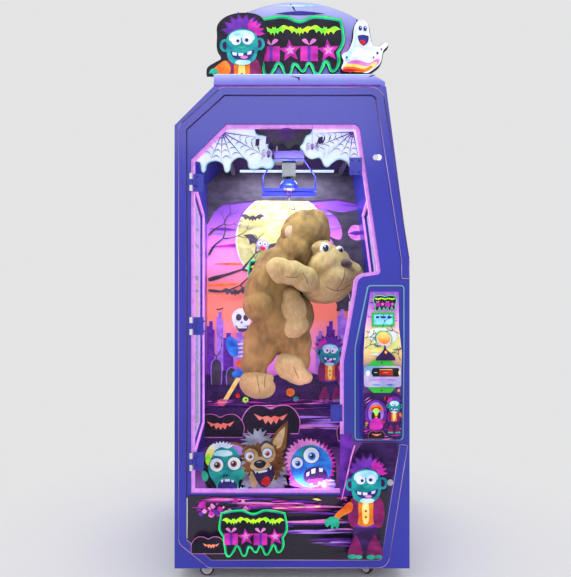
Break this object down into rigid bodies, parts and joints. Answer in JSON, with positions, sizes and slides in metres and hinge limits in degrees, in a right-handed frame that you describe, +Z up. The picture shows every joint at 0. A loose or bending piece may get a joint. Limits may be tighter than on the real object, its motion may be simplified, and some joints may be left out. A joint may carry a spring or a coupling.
{
  "type": "claw crane machine",
  "caption": "Tall arcade prize crane on braked casters: glass front door, leaning control column, gantry gripper, hanging plush prize and arched topper.",
  "frame": {"origin": "on the floor, under the middle of the machine's box", "axes": "+X to the machine's right as a player sees it, +Y to the back, +Z up"},
  "size_m": [1, 1.086, 2.518],
  "materials": {
    "blue_powder_coat": "satin",
    "printed_panel": "gloss",
    "clear_glass": "polished",
    "side_glass": "polished",
    "led_diffuser": "satin",
    "zinc_steel": "satin",
    "chrome_part": "polished",
    "black_plastic": "matte",
    "blue_plastic": "gloss",
    "green_plastic": "gloss",
    "amber_dome": "gloss",
    "board": "matte",
    "topper_board": "satin",
    "string_cotton": "matte",
    "plush_fur": "matte",
    "caster_rubber": "matte",
    "bronze_paint": "satin",
    "circuit": "matte"
  },
  "bodies": {
    "cabinet": {"base_frame": "zinc_steel", "base_floor": "board", "prize_deck": "printed_panel", "left_side_panel": "blue_powder_coat", "right_side_panel": "blue_powder_coat", "roof_panel": "blue_powder_coat", "rear_panel": "blue_powder_coat", "power_inlet": "black_plastic", "front_fascia": "blue_powder_coat", "trim_band": "blue_powder_coat", "side_glasses": "side_glass", "led_profiles": "led_diffuser", "backdrop_panel": "printed_panel", "ceiling_panel": "printed_panel", "control_bay_cover": "zinc_steel", "web_cutouts": "led_diffuser", "floor_standees": "printed_panel", "fixed_hinge_parts": "zinc_steel", "control_housing": "blue_powder_coat", "control_plate": "printed_panel", "control_trim": "blue_plastic", "display": "green_plastic", "button_ring": "green_plastic", "reader_bracket": "green_plastic", "card_reader": "blue_plastic", "topper_base": "topper_board", "topper_boards": "topper_board", "topper_sign": "printed_panel", "topper_figures": "printed_panel", "gantry_rails": "zinc_steel", "caster_plates": "zinc_steel", "electronics": "circuit"},
    "glass_door": {"door_glass": "clear_glass", "door_clamp_plates": "blue_powder_coat"},
    "glass_lock": {"glass_door_lock": "chrome_part"},
    "service_door": {"lower_door": "printed_panel"},
    "service_lock": {"lower_door_lock": "chrome_part"},
    "back_door": {"rear_door": "blue_powder_coat"},
    "back_latch": {"rear_latch": "black_plastic"},
    "play_button": {"button_dome": "amber_dome"},
    "beam": {"cross_beam": "black_plastic"},
    "carriage": {"trolley": "black_plastic", "trolley_motor": "zinc_steel"},
    "lift": {"lift_yoke": "blue_powder_coat", "lift_posts_and_pins": "zinc_steel", "gripper_crossbar": "blue_powder_coat", "gripper_dome": "blue_plastic", "gripper_drive": "black_plastic"},
    "prong_left": {"gripper_prong_left": "bronze_paint"},
    "prong_right": {"gripper_prong_right": "bronze_paint"},
    "prize": {"prize_string": "string_cotton", "prize_plush": "plush_fur"},
    "fork_front_left": {"caster_fork_front_left": "zinc_steel"},
    "wheel_front_left": {"caster_wheel_front_left": "caster_rubber"},
    "fork_front_right": {"caster_fork_front_right": "zinc_steel"},
    "wheel_front_right": {"caster_wheel_front_right": "caster_rubber"},
    "fork_rear_left": {"caster_fork_rear_left": "zinc_steel"},
    "wheel_rear_left": {"caster_wheel_rear_left": "caster_rubber"},
    "fork_rear_right": {"caster_fork_rear_right": "zinc_steel"},
    "wheel_rear_right": {"caster_wheel_rear_right": "caster_rubber"}
  },
  "joints": [
    {"name": "glass_door_hinge", "type": "hinge", "parent": "cabinet", "child": "glass_door", "pos_m": [-0.428, -0.4795, 1.101], "axis": [0, 0, -1], "range_deg": [0, 100]},
    {"name": "glass_lock_turn", "type": "hinge", "parent": "cabinet", "child": "glass_lock", "pos_m": [0.368, -0.471, 1.817], "axis": [0, 1, 0], "range_deg": [0, 90]},
    {"name": "service_door_hinge", "type": "hinge", "parent": "cabinet", "child": "service_door", "pos_m": [-0.4455, -0.4745, 0.28], "axis": [0, 0, -1], "range_deg": [0, 100]},
    {"name": "service_lock_turn", "type": "hinge", "parent": "service_door", "child": "service_lock", "pos_m": [0.416, -0.471, 0.438], "axis": [0, 1, 0], "range_deg": [0, 90]},
    {"name": "back_door_hinge", "type": "hinge", "parent": "cabinet", "child": "back_door", "pos_m": [-0.32, 0.533, 0.58], "axis": [0, 0, 1], "range_deg": [0, 110]},
    {"name": "back_latch_turn", "type": "hinge", "parent": "back_door", "child": "back_latch", "pos_m": [0.27, 0.529, 0.58], "axis": [0, 1, 0], "range_deg": [0, 90]},
    {"name": "button_press", "type": "slide", "parent": "cabinet", "child": "play_button", "axis": [0, 0.9082, -0.4185], "range_m": [0, 0.004], "stiffness_N_per_m": 600, "springref_m": -0.0012},
    {"name": "beam_travel", "type": "slide", "parent": "cabinet", "child": "beam", "axis": [0, 1, 0], "range_m": [-0.11, 0.14]},
    {"name": "carriage_travel", "type": "slide", "parent": "beam", "child": "carriage", "axis": [1, 0, 0], "range_m": [-0.18, 0.06]},
    {"name": "lift_travel", "type": "slide", "parent": "carriage", "child": "lift", "axis": [0, 0, -1], "range_m": [0, 0.05]},
    {"name": "prong_open", "type": "hinge", "parent": "lift", "child": "prong_left", "pos_m": [-0.018, -0.079, 1.787], "axis": [0, 1, 0], "range_deg": [0, 25]},
    {"name": "prong_open_right", "type": "hinge", "parent": "lift", "child": "prong_right", "pos_m": [0.018, -0.079, 1.787], "axis": [0, -1, 0], "range_deg": [0, 25]},
    {"name": "prize_swing", "type": "hinge", "parent": "lift", "child": "prize", "pos_m": [0, -0.079, 1.748], "axis": [1, 0, 0], "range_deg": [-5, 5]},
    {"name": "swivel_front_left", "type": "hinge", "parent": "cabinet", "child": "fork_front_left", "pos_m": [-0.35, -0.386, 0], "axis": [0, 0, 1], "continuous": true},
    {"name": "roll_front_left", "type": "hinge", "parent": "fork_front_left", "child": "wheel_front_left", "pos_m": [-0.372, -0.386, 0.0315], "axis": [0, 1, 0], "continuous": true},
    {"name": "swivel_front_right", "type": "hinge", "parent": "cabinet", "child": "fork_front_right", "pos_m": [0.35, -0.386, 0], "axis": [0, 0, 1], "continuous": true},
    {"name": "roll_front_right", "type": "hinge", "parent": "fork_front_right", "child": "wheel_front_right", "pos_m": [0.33444, -0.37044, 0.0315], "axis": [0.7071, 0.7071, 0], "continuous": true},
    {"name": "swivel_rear_left", "type": "hinge", "parent": "cabinet", "child": "fork_rear_left", "pos_m": [-0.35, 0.444, 0], "axis": [0, 0, 1], "continuous": true},
    {"name": "roll_rear_left", "type": "hinge", "parent": "fork_rear_left", "child": "wheel_rear_left", "pos_m": [-0.35, 0.466, 0.0315], "axis": [1, 0, 0], "continuous": true},
    {"name": "swivel_rear_right", "type": "hinge", "parent": "cabinet", "child": "fork_rear_right", "pos_m": [0.35, 0.444, 0], "axis": [0, 0, 1], "continuous": true},
    {"name": "roll_rear_right", "type": "hinge", "parent": "fork_rear_right", "child": "wheel_rear_right", "pos_m": [0.35752, 0.46467, 0.0315], "axis": [0.9397, -0.342, 0], "continuous": true}
  ],
  "couplings": [
    {"joint": "prong_open_right", "follows": "prong_open", "ratio": 1}
  ]
}
